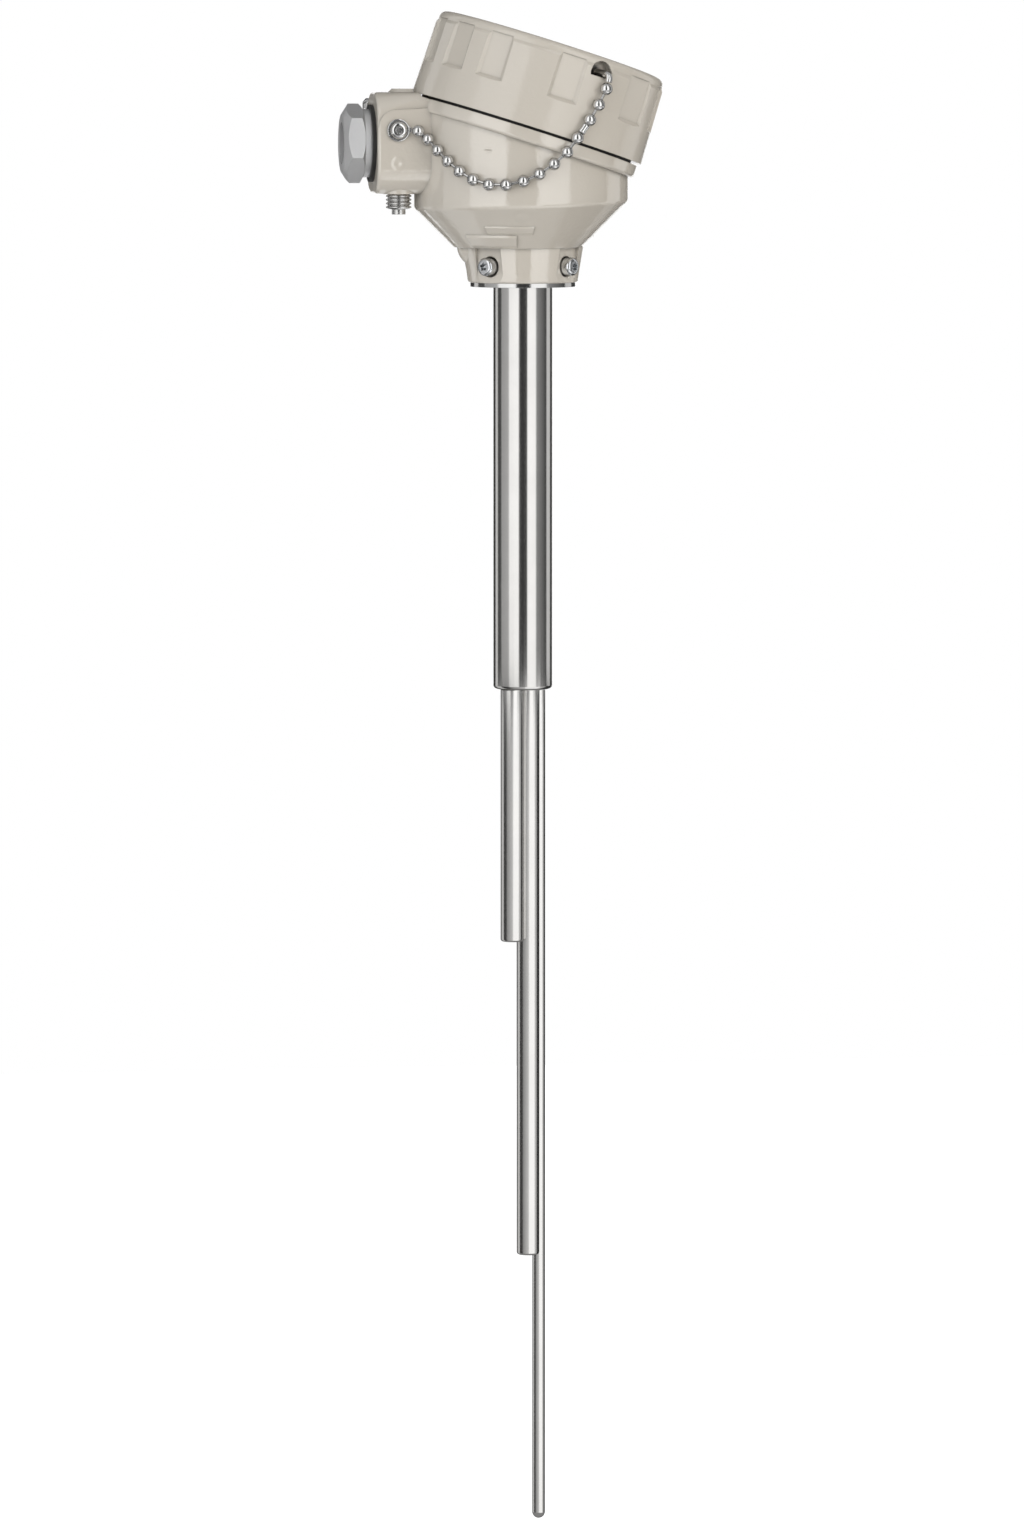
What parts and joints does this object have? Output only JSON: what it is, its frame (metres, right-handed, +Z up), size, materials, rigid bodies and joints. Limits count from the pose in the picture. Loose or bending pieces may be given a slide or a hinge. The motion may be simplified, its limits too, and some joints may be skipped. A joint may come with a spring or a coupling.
{
  "type": "multipoint thermocouple",
  "caption": "Multipoint thermocouple: painted cast connection head with a tilted screw lid on a bead chain, a steel extension tube and a stepped bundle of closed measuring sheaths.",
  "frame": {"origin": "on the stem's axis at the underside of the stop washer, where the extension tube begins", "axes": "+Z up along the stem's axis, away from the measuring tips; the cable entry points along -X and the lid leans towards +X; -Y is the front with the chain"},
  "size_m": [0.1196, 0.0926, 0.5662],
  "materials": {
    "paint": "gloss stoving enamel, warm beige grey",
    "black_rubber": "matt",
    "plated_steel": "nickel plated, satin",
    "steel": "satin",
    "polished_steel": "polished",
    "chrome": "bright",
    "resin": "matt",
    "ceramic": "unglazed",
    "brass": "nickel-free, turned"
  },
  "bodies": {
    "head": {"head_body": "paint", "lid_gasket": "black_rubber", "gland_ring": "black_rubber", "gland_seal": "black_rubber", "retaining_chain": "chrome", "chain_eyelet": "chrome", "chain_screw": "chrome", "set_screws": "chrome", "earth_stud": "chrome", "earth_screw": "chrome", "stop_washer": "steel", "extension_tube": "polished_steel", "short_sheath": "polished_steel", "middle_sheath": "polished_steel", "long_sheath": "polished_steel", "short_element": "steel", "middle_element": "steel", "long_element": "steel", "potting_seal": "resin", "terminal_base": "ceramic", "terminal_clamps": "brass", "terminal_screws": "steel", "base_screws": "steel", "positive_wires": "steel", "negative_wires": "steel"},
    "lid": {"lid": "paint", "chain_ring": "chrome"},
    "gland_thrust": {"gland_washer": "steel"},
    "gland_nut": {"gland_nut": "plated_steel"}
  },
  "joints": [
    {"name": "lid_turn", "type": "hinge", "parent": "head", "child": "lid", "pos_m": [0.0012, 0, 0.0579], "axis": [0.304, 0, 0.9527], "range_deg": [0, 40], "deforming": ["retaining_chain"]},
    {"name": "gland_travel", "type": "slide", "parent": "head", "child": "gland_thrust", "axis": [-1, 0, 0], "range_m": [0, 0.003]},
    {"name": "gland_turn", "type": "hinge", "parent": "gland_thrust", "child": "gland_nut", "pos_m": [-0.06, 0, 0.0531], "axis": [-1, 0, 0], "range_deg": [0, 720]}
  ],
  "couplings": [
    {"joint": "gland_travel", "follows": "gland_turn", "m_per_rad": 0.00023873}
  ]
}
